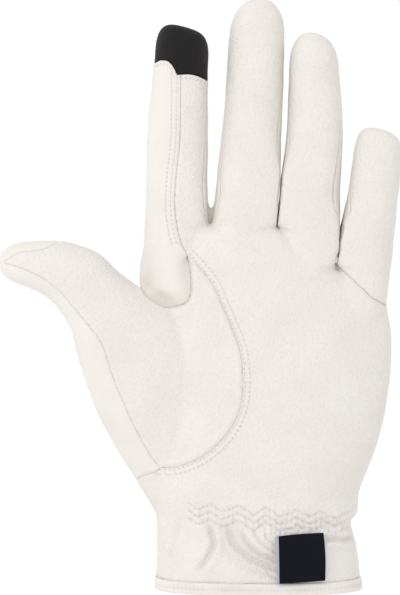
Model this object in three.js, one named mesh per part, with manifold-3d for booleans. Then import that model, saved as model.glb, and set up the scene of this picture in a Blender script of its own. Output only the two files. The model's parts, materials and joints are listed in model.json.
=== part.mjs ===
// A left-hand riding glove of thin grained leather, filled as a hand fills it, palm towards -Y,
// fingers up along +Z and thumb towards -X. Millimetres. The origin is the middle of the wrist opening.
import * as THREE from "three";
import { mergeVertices } from "three/addons/utils/BufferGeometryUtils.js";
import Module from "manifold-3d";

const wasm = await Module();
wasm.setup();

// Leather and seams
const leather = 1.2;
const seamGap = 0.3;

// Cuff, from the hem up to the smocked waist
const cuffWidth = 80;
const cuffDepth = 46;
const cuffHeight = 26.5;
const hemHeight = 4.6;
const hemProud = 0.6;
const hemGathers = 0.5;
const gatherDepth = 1.1;
const gatherCount = 12;
const broadGatherCount = 7;

// Palm, from the waist up to the fork of the first two fingers
const palmWidth = 99.5;
const palmDepth = 32;
const palmLength = 145;

// Fingers: length above the fork, width and depth at mid-length
const indexLength = 75;
const middleLength = 85;
const ringLength = 75;
const littleLength = 53.5;
const indexWidth = 23;
const middleWidth = 22.4;
const ringWidth = 21.3;
const littleWidth = 19.2;
const fingerDepth = 20;
const fingerCurl = 5;

// Thumb: how far its tip stands out past the palm, its depths at the tip and at the ball, and how far
// the tip comes forward
const thumbReach = 50;
const thumbTipDepth = 17;
const thumbBallDepth = 29;
const thumbForward = 14;

// Strips between the fingers, and the label on the cuff
const stripWidth = 12.5;
const labelWidth = 18.3;
const labelHeight = 18;
const labelThickness = 1;
const labelLeft = 6.4;

// Facets
const palmColumns = 46;
const fingerColumns = 14;
const sectionSquareness = 2.35;

const halfPalm = palmWidth / 2;
const reach = 3 * palmLength;
const labelSeat = gatherDepth * 0.8 + seamGap;

// Cuff sections: height as a share of cuffHeight, sides of half cuffWidth, depths of half cuffDepth
const cuffSections = [
  { up: 0.0, left: 1.0, right: 1.0, front: 1.0, back: 1.0, gather: 0.1 },
  { up: 0.2, left: 0.995, right: 0.985, front: 1.0, back: 1.0, gather: 0.6 },
  { up: 0.45, left: 0.985, right: 0.96, front: 0.99, back: 0.99, gather: 1.0 },
  { up: 0.68, left: 0.985, right: 0.935, front: 0.96, back: 0.96, gather: 0.95 },
  { up: 0.86, left: 0.985, right: 0.905, front: 0.9, back: 0.89, gather: 0.7 },
  { up: 1.0, left: 0.99, right: 0.895, front: 0.86, back: 0.85, gather: 0.45 },
];

// Palm sections: height as a share of the palm above the waist, sides of half palmWidth, depths of half
// palmDepth, and how much of the fall of the finger forks a section follows
const palmSections = [
  { up: 0.028, left: 0.805, right: 0.77, front: 1.25, back: 1.2, fall: 0, gather: 0.2 },
  { up: 0.1, left: 0.855, right: 0.79, front: 1.29, back: 1.19, fall: 0, gather: 0 },
  { up: 0.2, left: 0.92, right: 0.885, front: 1.24, back: 1.12, fall: 0, gather: 0 },
  { up: 0.32, left: 0.952, right: 0.975, front: 1.17, back: 1.07, fall: 0, gather: 0 },
  { up: 0.48, left: 0.95, right: 1.033, front: 1.09, back: 1.02, fall: 0.02, gather: 0 },
  { up: 0.62, left: 0.942, right: 1.04, front: 1.02, back: 0.97, fall: 0.15, gather: 0 },
  { up: 0.75, left: 0.94, right: 1.033, front: 0.93, back: 0.9, fall: 0.45, gather: 0 },
  { up: 0.87, left: 0.93, right: 1.02, front: 0.81, back: 0.79, fall: 0.85, gather: 0 },
  { up: 0.945, left: 0.9, right: 1.01, front: 0.69, back: 0.67, fall: 1, gather: 0 },
  { up: 0.98, left: 0.87, right: 1.0, front: 0.52, back: 0.5, fall: 1, gather: 0 },
  { up: 1.0, left: 0.855, right: 0.99, front: 0.3, back: 0.29, fall: 1, gather: 0 },
];

// The line through the finger forks: shares of half palmWidth and of palmLength
const forkLine = [
  { across: -0.9, up: 0.965 },
  { across: -0.375, up: 0.998 },
  { across: 0.14, up: 0.982 },
  { across: 0.61, up: 0.872 },
  { across: 1.05, up: 0.8 },
];

// Fingers: place of the root, then sideways lean and bow, slant of the tip and how blunt it is
const fingers = {
  index: { across: -0.636, fork: 0.998, lean: 0, bow: 0.1, slant: -0.2, blunt: 2.5 },
  middle: { across: -0.12, fork: 0.998, lean: 0.41, bow: -0.13, slant: 0, blunt: 2.05 },
  ring: { across: 0.39, fork: 0.982, lean: 0.32, bow: -0.22, slant: 0, blunt: 2.3 },
  little: { across: 0.83, fork: 0.872, lean: 0.42, bow: -0.15, slant: -0.2, blunt: 2.6 },
};
const fingerSizes = {
  index: { length: indexLength, width: indexWidth },
  middle: { length: middleLength, width: middleWidth },
  ring: { length: ringLength, width: ringWidth },
  little: { length: littleLength, width: littleWidth },
};
// Sections up a finger's straight part as shares of its length, and up its round tip as shares of the
// tip, which is tipRound of the width long; a finger widens by fingerFlare towards its root
const shaftRows = [-0.4, -0.15, 0, 0.2, 0.45];
const tipRows = [0, 0.35, 0.62, 0.82, 0.94, 0.995];
const tipRound = 0.62;
const fingerFlare = 0.1;
const littleDepthShare = 0.92;

// Thumb sections from the ball to the tip: the upper and the lower edge, out past the palm as a share of
// thumbReach and up as a share of palmLength, and how far each section has gone from ball to tip
const thumbSections = [
  { topOut: -0.64, topUp: 0.5, lowOut: -0.185, lowUp: 0.21, gone: 0 },
  { topOut: -0.6, topUp: 0.62, lowOut: -0.14, lowUp: 0.236, gone: 0.04 },
  { topOut: -0.5, topUp: 0.7, lowOut: -0.035, lowUp: 0.298, gone: 0.12 },
  { topOut: -0.37, topUp: 0.755, lowOut: 0.11, lowUp: 0.378, gone: 0.24 },
  { topOut: -0.2, topUp: 0.785, lowOut: 0.255, lowUp: 0.47, gone: 0.38 },
  { topOut: -0.05, topUp: 0.815, lowOut: 0.33, lowUp: 0.55, gone: 0.5 },
  { topOut: 0.09, topUp: 0.85, lowOut: 0.41, lowUp: 0.64, gone: 0.6 },
  { topOut: 0.22, topUp: 0.893, lowOut: 0.455, lowUp: 0.7, gone: 0.7 },
  { topOut: 0.38, topUp: 0.92, lowOut: 0.545, lowUp: 0.752, gone: 0.79 },
  { topOut: 0.56, topUp: 0.934, lowOut: 0.66, lowUp: 0.791, gone: 0.87 },
  { topOut: 0.74, topUp: 0.933, lowOut: 0.79, lowUp: 0.81, gone: 0.93 },
  { topOut: 0.87, topUp: 0.927, lowOut: 0.91, lowUp: 0.827, gone: 0.97 },
  { topOut: 0.945, topUp: 0.914, lowOut: 0.98, lowUp: 0.848, gone: 0.99 },
  { topOut: 0.985, topUp: 0.9, lowOut: 0.995, lowUp: 0.872, gone: 1 },
];
// How the depth falls and the thumb comes forward as powers of gone, and where its tip rounds off
const thumbFall = 0.8;
const thumbBend = 0.7;
const thumbRoundFrom = 0.93;
const thumbRoundTo = 1.005;
const thumbInsetFrom = 0.8;

// Seams on the palm side: shares of half palmWidth and of palmLength
const pocketSeam = [
  { across: -0.945, up: 0.816 },
  { across: -0.845, up: 0.784 },
  { across: -0.729, up: 0.763 },
  { across: -0.629, up: 0.763 },
  { across: -0.56, up: 0.776 },
  { across: -0.536, up: 0.808 },
  { across: -0.544, up: 0.856 },
];
const ballSeam = [
  { across: -0.559, up: 0.898 },
  { across: -0.459, up: 0.86 },
  { across: -0.359, up: 0.816 },
  { across: -0.29, up: 0.763 },
  { across: -0.214, up: 0.702 },
  { across: -0.152, up: 0.644 },
  { across: -0.129, up: 0.579 },
  { across: -0.137, up: 0.513 },
  { across: -0.183, up: 0.46 },
  { across: -0.29, up: 0.407 },
  { across: -0.421, up: 0.368 },
  { across: -0.536, up: 0.347 },
  { across: -0.651, up: 0.334 },
  { across: -0.766, up: 0.331 },
];
const littleSeam = [
  { across: 0.596, up: 0.874 },
  { across: 0.629, up: 0.861 },
  { across: 0.698, up: 0.84 },
  { across: 0.814, up: 0.803 },
  { across: 0.914, up: 0.776 },
  { across: 1.2, up: 0.735 },
];
// The outer seam of the thumb and the seam over its tip, out past the palm as a share of thumbReach and
// up of palmLength
const thumbSeam = [
  { out: -0.157, up: 0.361 },
  { out: -0.043, up: 0.435 },
  { out: 0.057, up: 0.513 },
  { out: 0.133, up: 0.579 },
  { out: 0.209, up: 0.658 },
  { out: 0.301, up: 0.703 },
  { out: 0.415, up: 0.75 },
  { out: 0.529, up: 0.797 },
  { out: 0.681, up: 0.837 },
  { out: 0.857, up: 0.863 },
  { out: 0.96, up: 0.873 },
];
const thumbTipSeam = [
  { out: 0.963, up: 0.877 },
  { out: 0.833, up: 0.902 },
  { out: 0.697, up: 0.908 },
  { out: 0.59, up: 0.922 },
  { out: 0.45, up: 0.96 },
  { out: 0.2, up: 0.93 },
];
// Where the thumb joins the back of the hand
const thumbRootSeam = [
  { across: -0.945, up: 0.816 },
  { across: -0.89, up: 0.67 },
  { across: -0.82, up: 0.51 },
  { across: -0.77, up: 0.39 },
  { across: -0.766, up: 0.331 },
  { across: -0.9, up: 0.308 },
];
// Inner edge of what the thumb's back takes along the side of the hand, behind the ball of the thumb
const underBallSeam = [
  { across: -0.72, up: 0.74 },
  { across: -0.62, up: 0.6 },
  { across: -0.62, up: 0.42 },
];
// Seams on the first finger: shares of its half width and of its length
const gussetSeam = [
  { across: 0.02, up: 0.83 },
  { across: 0.08, up: 0.6 },
  { across: 0.09, up: 0.39 },
  { across: 0.0, up: 0.235 },
  { across: -0.06, up: 0.08 },
  { across: 0.02, up: -0.05 },
  { across: 0.16, up: -0.14 },
];
const capSeam = [
  { across: -1.4, up: 0.785 },
  { across: -0.85, up: 0.797 },
  { across: -0.44, up: 0.797 },
  { across: -0.2, up: 0.765 },
  { across: -0.076, up: 0.727 },
  { across: 0.4, up: 0.727 },
  { across: 1.4, up: 0.69 },
];
const gussetWrap = 3;

// Corners that close an outline clear of the leather: round the thumb, outside the first finger and
// round the little finger
const aroundThumb = [
  { out: 0.2, up: 0.25 },
  { out: 1.2, up: 0.3 },
  { out: 1.2, up: 1.0 },
  { out: 0.2, up: 0.95 },
];
const besideIndex = [
  { across: -1.5, up: -0.3 },
  { across: -1.5, up: 0.95 },
  { across: 0.02, up: 0.95 },
];
const aroundLittle = [
  { across: 1.6, up: 1.3 },
  { across: -1.25, up: 1.3 },
  { across: -1.15, up: 0.6 },
  { across: -1.1, up: 0.25 },
];
const capRise = 1.8;

// A strip between two fingers: its width up a finger as a share of stripWidth, and the height on the
// fingers at which the strip's middle is measured
const stripTaper = [
  { up: -0.35, share: 1 },
  { up: 0.1, share: 1 },
  { up: 0.5, share: 0.72 },
  { up: 0.8, share: 0.2 },
  { up: 0.86, share: 0 },
];
const stripMiddle = 0.3;
const stripOverlap = 2 * leather;

const lerp = THREE.MathUtils.lerp;

function rounded(turn) {
  return Math.sign(turn) * Math.abs(turn) ** (2 / sectionSquareness);
}

function forkHeight(across) {
  let k = 1;
  while (k < forkLine.length - 1 && across > forkLine[k].across) k++;
  const low = forkLine[k - 1];
  const high = forkLine[k];
  const share = (across - low.across) / (high.across - low.across);
  return palmLength * lerp(low.up, high.up, share);
}

// A closed body through rings of equal count, whose columns lie mirrored about the first one
function loft(rings) {
  const count = rings[0].length;
  const index = [];
  const at = (ring, column) => ring * count + (column % count);
  for (let ring = 0; ring < rings.length - 1; ring++) {
    for (let column = 0; column < count; column++) {
      const a = at(ring, column);
      const b = at(ring, column + 1);
      const c = at(ring + 1, column + 1);
      const d = at(ring + 1, column);
      index.push(a, b, c, a, c, d);
    }
  }
  const last = rings.length - 1;
  for (let column = 0; column < count / 2; column++) {
    for (const [ring, turned] of [[0, true], [last, false]]) {
      const a = at(ring, column);
      const b = at(ring, column + 1);
      const c = at(ring, count - column - 1);
      const d = at(ring, count - column);
      if (b !== c) index.push(...(turned ? [a, c, b] : [a, b, c]));
      if (a !== d) index.push(...(turned ? [a, d, c] : [a, c, d]));
    }
  }
  const geometry = new THREE.BufferGeometry();
  geometry.setAttribute("position", new THREE.Float32BufferAttribute(rings.flat(2), 3));
  geometry.setIndex(index);
  return solid(geometry);
}

function solid(geometry) {
  const bare = geometry.clone();
  bare.deleteAttribute("normal");
  bare.deleteAttribute("uv");
  const merged = mergeVertices(bare, 1e-4);
  const vertProperties = new Float32Array(merged.attributes.position.array);
  const triVerts = new Uint32Array(merged.index.array);
  return new wasm.Manifold(new wasm.Mesh({ numProp: 3, vertProperties, triVerts }));
}

function join(...bodies) {
  return bodies.reduce((whole, body) => whole.add(body));
}

function turns(count) {
  return Array.from({ length: count }, (_, k) => (2 * Math.PI * k) / count);
}

// Two waves of different counts, so that no two gathers are alike
function gatherWave(turn) {
  const fine = Math.cos(gatherCount * turn);
  const broad = Math.cos(broadGatherCount * turn + 1);
  return 0.6 * fine + 0.3 * broad;
}

// Cuff and palm as one body, drawn in by inset, with its gathers on or off, its mouth lowered by drop
function handBody({ inset = 0, gathers = 1, drop = 0 }) {
  const rows = [];
  for (const s of cuffSections) {
    const z = s.up * cuffHeight - (s.up === 0 ? drop : 0);
    rows.push({ ...s, z, fall: 0, width: cuffWidth, depth: cuffDepth });
  }
  for (const s of palmSections) {
    const z = lerp(cuffHeight, palmLength, s.up) - (s.fall === 1 ? inset : 0);
    rows.push({ ...s, z, width: palmWidth, depth: palmDepth });
  }
  const rings = rows.map((row) => turns(palmColumns).map((turn) => {
    const left = (row.left * row.width) / 2;
    const right = (row.right * row.width) / 2;
    const wide = (left + right) / 2 - inset;
    const deep = ((Math.sin(turn) < 0 ? row.front : row.back) * row.depth) / 2 - inset;
    const wave = gatherWave(turn);
    const proud = gathers * gatherDepth * row.gather * wave;
    const x = (right - left) / 2 + wide * rounded(Math.cos(turn)) + proud * Math.cos(turn);
    const y = deep * rounded(Math.sin(turn)) + proud * Math.sin(turn);
    const z = row.z + row.fall * (forkHeight(x / halfPalm) - palmLength);
    return [x, y, z];
  }));
  return loft(rings);
}

function fingerAxis(name, up) {
  const finger = fingers[name];
  const { width } = fingerSizes[name];
  return finger.across * halfPalm + width * (finger.lean * up + finger.bow * up * up);
}

function onFinger(name, { across, up }) {
  const { length, width } = fingerSizes[name];
  return [fingerAxis(name, up) + (across * width) / 2, fingers[name].fork * palmLength + up * length];
}

function onPalm({ across, up }) {
  return [across * halfPalm, up * palmLength];
}

function onThumb({ out, up }) {
  return [-halfPalm - out * thumbReach, up * palmLength];
}

function fingerBody(name, inset) {
  const finger = fingers[name];
  const { length, width } = fingerSizes[name];
  const round = (tipRound * width) / length;
  const rows = shaftRows.map((up) => ({ up, tip: 0, full: 1 }));
  for (const tip of tipRows) {
    const full = (1 - tip ** finger.blunt) ** (1 / finger.blunt);
    rows.push({ up: 1 - round * (1 - tip), tip, full });
  }
  const deepShare = name === "little" ? littleDepthShare : 1;
  const rings = rows.map((row) => {
    const flare = 1 + fingerFlare * (1 - row.up) ** 2;
    const wide = Math.max((width * flare) / 2 - inset, inset) * row.full;
    const deep = ((fingerDepth * deepShare * flare) / 2 - inset) * row.full;
    const centre = fingerAxis(name, row.up);
    const forward = fingerCurl * Math.max(row.up, 0) ** 2;
    const height = finger.fork * palmLength + row.up * length - inset * row.tip;
    return turns(fingerColumns).map((turn) => {
      const side = wide * rounded(Math.cos(turn));
      const y = deep * rounded(Math.sin(turn)) - forward;
      return [centre + side, y, height + finger.slant * side * row.tip];
    });
  });
  return loft(rings);
}

function thumbBody(inset) {
  const rings = thumbSections.map((s) => {
    const [topX, topZ] = onThumb({ out: s.topOut, up: s.topUp });
    const [lowX, lowZ] = onThumb({ out: s.lowOut, up: s.lowUp });
    const top = new THREE.Vector2(topX, topZ);
    const low = new THREE.Vector2(lowX, lowZ);
    const middle = top.clone().add(low).divideScalar(2);
    const half = top.clone().sub(low).divideScalar(2);
    const ending = Math.max(0, s.gone - thumbRoundFrom) / (thumbRoundTo - thumbRoundFrom);
    const depth = lerp(thumbBallDepth, thumbTipDepth, s.gone ** thumbFall) * Math.sqrt(1 - ending ** 2);
    const deep = depth / 2 - inset;
    const wide = half.length() - inset;
    const away = (inset * Math.max(0, s.gone - thumbInsetFrom)) / (1 - thumbInsetFrom);
    half.setLength(Math.max(wide, inset / 2));
    const ahead = [half.y, -half.x].map((part) => (part / half.length()) * away);
    return turns(fingerColumns).map((turn) => {
      const side = rounded(Math.cos(turn));
      const x = middle.x + half.x * side + ahead[0];
      const z = middle.y + half.y * side + ahead[1];
      const y = Math.max(deep, inset / 2) * rounded(Math.sin(turn)) - thumbForward * s.gone ** thumbBend;
      return [x, y, z];
    });
  });
  return loft(rings);
}

// Everything over an outline in X and Z, between two depths that may lean forward along the thumb
function block(outline, near, far, lean = 0) {
  const shape = new THREE.Shape(outline.map(([x, z]) => new THREE.Vector2(x, z)));
  const geometry = new THREE.ExtrudeGeometry(shape, { depth: far - near, bevelEnabled: false });
  const leaning = new THREE.Matrix4().makeShear(lean, 0, 0, 0, 0, 0);
  geometry.rotateX(Math.PI / 2).translate(halfPalm, far, 0).applyMatrix4(leaning);
  return solid(geometry.translate(-halfPalm, 0, 0));
}

// An outline moved outwards by a distance, with its corners kept sharp down to a limit
const cornerLimit = 0.5;

function grown(outline, distance) {
  const area = THREE.ShapeUtils.area(outline.map(([x, y]) => ({ x, y })));
  const count = outline.length;
  const side = (from, to) => {
    const [dx, dz] = [to[0] - from[0], to[1] - from[1]];
    const length = Math.hypot(dx, dz) * Math.sign(area);
    return [dz / length, -dx / length];
  };
  return outline.map((point, k) => {
    const before = side(outline[(k + count - 1) % count], point);
    const after = side(point, outline[(k + 1) % count]);
    const spread = 1 + before[0] * after[0] + before[1] * after[1];
    const step = distance / Math.max(spread, cornerLimit);
    return [point[0] + (before[0] + after[0]) * step, point[1] + (before[1] + after[1]) * step];
  });
}

// Half of the strip's region beside one finger: full at the fork, run out to nothing near the tip
function strip(name, from, to, gap) {
  const { length } = fingerSizes[name];
  const fork = fingers[name].fork * palmLength;
  const half = stripWidth / 2 + gap;
  const side = stripTaper.map(({ up, share }) => [half * share, fork + up * length]);
  const outline = [...side, ...side.slice(0, -1).map(([y, z]) => [-y, z]).reverse()];
  const shape = new THREE.Shape(outline.map(([y, z]) => new THREE.Vector2(y, z)));
  const geometry = new THREE.ExtrudeGeometry(shape, { depth: to - from, bevelEnabled: false });
  return solid(geometry.rotateY(Math.PI / 2).rotateX(Math.PI / 2).translate(from, 0, 0));
}

const outside = join(
  handBody({}),
  ...Object.keys(fingers).map((name) => fingerBody(name, 0)),
  thumbBody(0),
);
const inside = join(
  handBody({ inset: leather, drop: leather }),
  ...Object.keys(fingers).map((name) => fingerBody(name, leather)),
  thumbBody(leather),
);
const everywhere = [[-reach, -reach], [reach, -reach], [reach, reach], [-reach, reach]];
const below = everywhere.map(([x, z]) => [x, Math.min(z, hemHeight + seamGap)]);

const panels = new Map();
let shell = outside.subtract(inside).subtract(block(below, -reach, reach));

// Takes a panel out of the shell, with the seam's gap left around it
function cut(name, region, taken) {
  panels.set(name, shell.intersect(region));
  shell = shell.subtract(taken);
}

function cutOutline(name, outline, near, far, lean = 0) {
  const wider = grown(outline, seamGap);
  cut(name, block(outline, near, far, lean), block(wider, near, far + seamGap, lean));
}

const capCorners = [{ ...capSeam.at(-1), up: capRise }, { ...capSeam[0], up: capRise }];
const capOutline = [...capSeam, ...capCorners].map((place) => onFinger("index", place));
cutOutline("index_tip_cap", capOutline, -reach, reach);

const pocket = pocketSeam.map(onPalm);
const ball = ballSeam.map(onPalm);
const thumbSides = [...thumbSeam, ...thumbTipSeam].map(onThumb);
const thumbMiddle = -thumbForward / 2;
const thumbLean = thumbForward / 2 / thumbReach;
cutOutline("thumb_front", [...pocket, ...ball, ...thumbSides], -reach, thumbMiddle, thumbLean);

const gussetLine = gussetSeam.map((place) => onFinger("index", place));
const gussetSide = besideIndex.map((place) => onFinger("index", place));
const gussetOutline = [...gussetLine, ball[0], ...pocket.slice().reverse(), ...gussetSide];
cutOutline("index_gusset", gussetOutline, -reach, gussetWrap);

const thumbRoot = thumbRootSeam.map(onPalm);
const thumbBack = [...thumbRoot, ...aroundThumb.map(onThumb)];
const underBall = [...pocket.slice(0, 2), ...underBallSeam.map(onPalm), thumbRoot.at(-2)];
const thumbBackWider = grown(thumbBack, seamGap);
const underBallWider = grown(underBall, seamGap);
cut(
  "thumb_back",
  join(block(thumbBack, -reach, reach), block(underBall, -reach, 0)),
  join(block(thumbBackWider, -reach, reach), block(underBallWider, -reach, seamGap)),
);

const pairs = [["index", "middle"], ["middle", "ring"], ["ring", "little"]];
for (const [first, second] of pairs) {
  const firstSide = onFinger(first, { across: 1, up: stripMiddle });
  const secondSide = onFinger(second, { across: -1, up: stripMiddle });
  const between = (firstSide[0] + secondSide[0]) / 2;
  const region = (gap) => join(
    strip(first, fingerAxis(first, stripMiddle), between + stripOverlap, gap),
    strip(second, between - stripOverlap, fingerAxis(second, stripMiddle), gap),
  );
  cut("strip_" + first + "_" + second, region(0), region(seamGap));
}

const littleTop = aroundLittle.map((place) => onFinger("little", place));
cutOutline("little_front", [...littleSeam.map(onPalm), ...littleTop], -reach, 0);

cut("back_panel", block(everywhere, seamGap / 2, reach), block(everywhere, -seamGap / 2, reach));
panels.set("palm_panel", shell);

// Folded binding round the hem
const hemOutline = everywhere.map(([x, z]) => [x, THREE.MathUtils.clamp(z, 0, hemHeight)]);
const hemBand = block(hemOutline, -reach, reach);
const hemOuter = handBody({ inset: -hemProud, gathers: hemGathers });
const hemInner = handBody({ inset: leather + hemProud, gathers: hemGathers, drop: leather });
panels.set("hem_binding", hemOuter.subtract(hemInner).intersect(hemBand));

// Woven label sewn flat over the gathers
const labelLow = hemHeight + seamGap;
const labelOutline = [
  [labelLeft, labelLow],
  [labelLeft + labelWidth, labelLow],
  [labelLeft + labelWidth, labelLow + labelHeight],
  [labelLeft, labelLow + labelHeight],
];
const labelOuter = handBody({ inset: -labelSeat - labelThickness, gathers: 0 });
const labelInner = handBody({ inset: -labelSeat, gathers: 0 });
panels.set("label_tab", labelOuter.subtract(labelInner).intersect(block(labelOutline, -reach, 0)));

const finishes = {
  palm_panel: { color: 0xf1ede8, roughness: 0.62 },
  back_panel: { color: 0xf3efe9, roughness: 0.6 },
  little_front: { color: 0xf1ede8, roughness: 0.62 },
  index_gusset: { color: 0xf3eee6, roughness: 0.55 },
  index_tip_cap: { color: 0x2b2929, roughness: 0.9 },
  thumb_front: { color: 0xf1ede8, roughness: 0.62 },
  thumb_back: { color: 0xf0ede8, roughness: 0.55 },
  strip_index_middle: { color: 0xf3eee6, roughness: 0.6 },
  strip_middle_ring: { color: 0xf3eee6, roughness: 0.6 },
  strip_ring_little: { color: 0xf3eee6, roughness: 0.6 },
  hem_binding: { color: 0xece7e1, roughness: 0.6 },
  label_tab: { color: 0x1d1d28, roughness: 0.8 },
};

const glove = new THREE.Group();
for (const [name, body] of panels) {
  const { vertProperties, triVerts } = body.getMesh();
  const geometry = new THREE.BufferGeometry();
  geometry.setAttribute("position", new THREE.BufferAttribute(vertProperties, 3));
  geometry.setIndex(new THREE.BufferAttribute(triVerts, 1));
  geometry.computeVertexNormals();
  const material = new THREE.MeshStandardMaterial({ ...finishes[name], metalness: 0 });
  const mesh = new THREE.Mesh(geometry, material);
  mesh.name = name;
  glove.add(mesh);
}

export default glove;
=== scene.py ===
import json
import math

import bmesh
import bpy
import numpy as np
from mathutils import Matrix, Vector
from mathutils.bvhtree import BVHTree
from mathutils.kdtree import KDTree


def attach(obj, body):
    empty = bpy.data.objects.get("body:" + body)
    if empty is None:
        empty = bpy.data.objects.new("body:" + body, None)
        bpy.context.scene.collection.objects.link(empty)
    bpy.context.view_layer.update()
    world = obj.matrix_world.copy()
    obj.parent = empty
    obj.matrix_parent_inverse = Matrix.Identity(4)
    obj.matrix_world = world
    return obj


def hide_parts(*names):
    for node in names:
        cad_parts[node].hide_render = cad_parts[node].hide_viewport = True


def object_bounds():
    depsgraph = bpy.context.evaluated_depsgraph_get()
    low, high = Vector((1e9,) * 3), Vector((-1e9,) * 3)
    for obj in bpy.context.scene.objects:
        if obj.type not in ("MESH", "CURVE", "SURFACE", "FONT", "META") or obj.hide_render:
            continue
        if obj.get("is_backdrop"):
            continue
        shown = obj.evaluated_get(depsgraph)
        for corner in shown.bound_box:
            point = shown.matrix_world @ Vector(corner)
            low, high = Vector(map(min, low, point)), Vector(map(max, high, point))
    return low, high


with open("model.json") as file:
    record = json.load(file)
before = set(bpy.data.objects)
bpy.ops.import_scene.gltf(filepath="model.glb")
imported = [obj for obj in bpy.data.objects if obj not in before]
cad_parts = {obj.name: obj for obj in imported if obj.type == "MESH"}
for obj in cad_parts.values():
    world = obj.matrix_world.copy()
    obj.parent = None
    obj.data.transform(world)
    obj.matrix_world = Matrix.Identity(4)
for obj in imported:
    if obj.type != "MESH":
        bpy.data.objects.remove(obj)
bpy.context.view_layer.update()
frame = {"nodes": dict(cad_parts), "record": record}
print("frame loaded:", len(frame["nodes"]), "pieces")

mm = 0.001  # lengths below are millimetres: fingers along +Z, palm towards -Y, thumb towards -X


# a short table with named columns
def table(columns, *rows):
    return [dict(zip(columns.split(), row)) for row in rows]


# a smooth curve through a list of points, with that many steps from one point to the next
def smoothCurve(points, steps):
    points = np.asarray(points, float)
    ends = np.vstack([2 * points[0] - points[1], points, 2 * points[-1] - points[-2]])
    t = np.arange(steps)[:, None] / steps
    spans = []
    for a, b, c, d in zip(ends, ends[1:], ends[2:], ends[3:]):
        cubic = (3 * b - a - 3 * c + d) * t**3
        spans.append(0.5 * (2 * b + (c - a) * t + (2 * a - 5 * b + 4 * c - d) * t**2 + cubic))
    return np.vstack([*spans, points[-1:]])


def bell(distance, width):
    return np.exp(-((distance / width) ** 2))


def ramp(value, low, high):
    t = np.clip((value - low) / (high - low), 0, 1)
    return t * t * (3 - 2 * t)


# soft irregular waves over the points, about a size across
def ripples(points, size, seed, count=8):
    dice = np.random.default_rng(seed)
    total = np.zeros(len(points))
    for _ in range(count):
        way = dice.normal(size=3)
        way *= 2 * math.pi / (size * dice.uniform(0.8, 1.5) * np.linalg.norm(way))
        total += np.sin(points @ way + dice.uniform(0, 2 * math.pi))
    return total / math.sqrt(count)


def meshOf(name, bm):
    mesh = bpy.data.meshes.new(name)
    bm.to_mesh(mesh)
    return mesh


def newObject(name, data):
    piece = bpy.data.objects.new(name, data)
    bpy.context.scene.collection.objects.link(piece)
    return piece


# The filled hand: cuff, palm, four fingers and thumb, each a smooth loft through a few sections

skin = {"voxel": 1.0, "wall": 1.1, "seamBand": 2.2, "cuffBand": 37.5, "cuffBehind": 4, "snap": 0.07}
hand = {
    "cuffWidth": 80, "cuffDepth": 46, "cuffHeight": 26.5,
    "palmWidth": 99.5, "palmDepth": 32, "palmLength": 145, "squareness": 2.35,
    "gatherDepth": 0.55, "gatherShare": 0.6, "gatherCount": 12, "slowCount": 7, "slowShare": 0.5,
    "columns": 112, "steps": 6,
}
halfPalm = hand["palmWidth"] / 2
palmLength = hand["palmLength"]

# height, sides and depths as shares of the cuff's and the palm's sizes; fall is how far a section
# follows the slant of the finger forks
cuffSections = table(
    "up left right front back gather fall",
    (0.00, 1.000, 1.000, 1.00, 1.00, 0.10, 0),
    (0.20, 0.995, 0.985, 1.00, 1.00, 0.60, 0),
    (0.45, 0.985, 0.960, 0.99, 0.99, 1.00, 0),
    (0.68, 0.985, 0.935, 0.96, 0.96, 0.95, 0),
    (0.86, 0.985, 0.905, 0.90, 0.89, 0.70, 0),
    (1.00, 0.990, 0.895, 0.86, 0.85, 0.45, 0),
)
palmSections = table(
    "up left right front back gather fall",
    (0.028, 0.805, 0.770, 1.25, 1.20, 0.20, 0),
    (0.100, 0.855, 0.790, 1.29, 1.19, 0.00, 0),
    (0.200, 0.920, 0.885, 1.24, 1.12, 0.00, 0),
    (0.320, 0.952, 0.975, 1.17, 1.07, 0.00, 0),
    (0.480, 0.950, 1.033, 1.09, 1.02, 0.00, 0.02),
    (0.620, 0.942, 1.040, 1.02, 0.97, 0.00, 0.15),
    (0.750, 0.940, 1.033, 0.93, 0.90, 0.00, 0.45),
    (0.870, 0.930, 1.020, 0.81, 0.79, 0.00, 0.85),
    (0.945, 0.900, 1.010, 0.69, 0.67, 0.00, 1),
    (0.980, 0.870, 1.000, 0.52, 0.50, 0.00, 1),
    (1.000, 0.855, 0.990, 0.30, 0.29, 0.00, 1),
)
forkLine = table("across up", (-0.9, 0.965), (-0.375, 0.998), (0.14, 0.982), (0.61, 0.872), (1.05, 0.8))


def levels(rows, low, high, halfWidth, halfDepth):
    return [
        [
            low + (high - low) * row["up"], row["left"] * halfWidth, row["right"] * halfWidth,
            row["front"] * halfDepth, row["back"] * halfDepth, row["gather"], row["fall"],
        ]
        for row in rows
    ]


cuffLevels = levels(cuffSections, 0, hand["cuffHeight"], hand["cuffWidth"] / 2, hand["cuffDepth"] / 2)
palmLevels = levels(palmSections, hand["cuffHeight"], palmLength, halfPalm, hand["palmDepth"] / 2)
handLevels = smoothCurve(cuffLevels + palmLevels, hand["steps"])


def rounded(turn):
    return np.sign(turn) * np.abs(turn) ** (2 / hand["squareness"])


def turnsOf(count):
    return np.arange(count) * 2 * math.pi / count


# one ring of the cuff or palm, pushed out by grow, with a share of its gathers
def handRing(level, turns, grow=0.0, gathers=1.0):
    height, left, right, front, back, gather, fall = level
    wave = np.cos(hand["gatherCount"] * turns) + hand["slowShare"] * np.cos(hand["slowCount"] * turns + 1)
    proud = gathers * hand["gatherDepth"] * gather * hand["gatherShare"] * wave
    deep = np.where(np.sin(turns) < 0, front, back) + grow
    x = (right - left) / 2 + ((left + right) / 2 + grow) * rounded(np.cos(turns)) + proud * np.cos(turns)
    y = deep * rounded(np.sin(turns)) + proud * np.sin(turns)
    forks = np.interp(x / halfPalm, [fork["across"] for fork in forkLine], [fork["up"] for fork in forkLine])
    return np.stack([x, y, height + fall * (forks - 1) * palmLength], axis=1)


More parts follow.
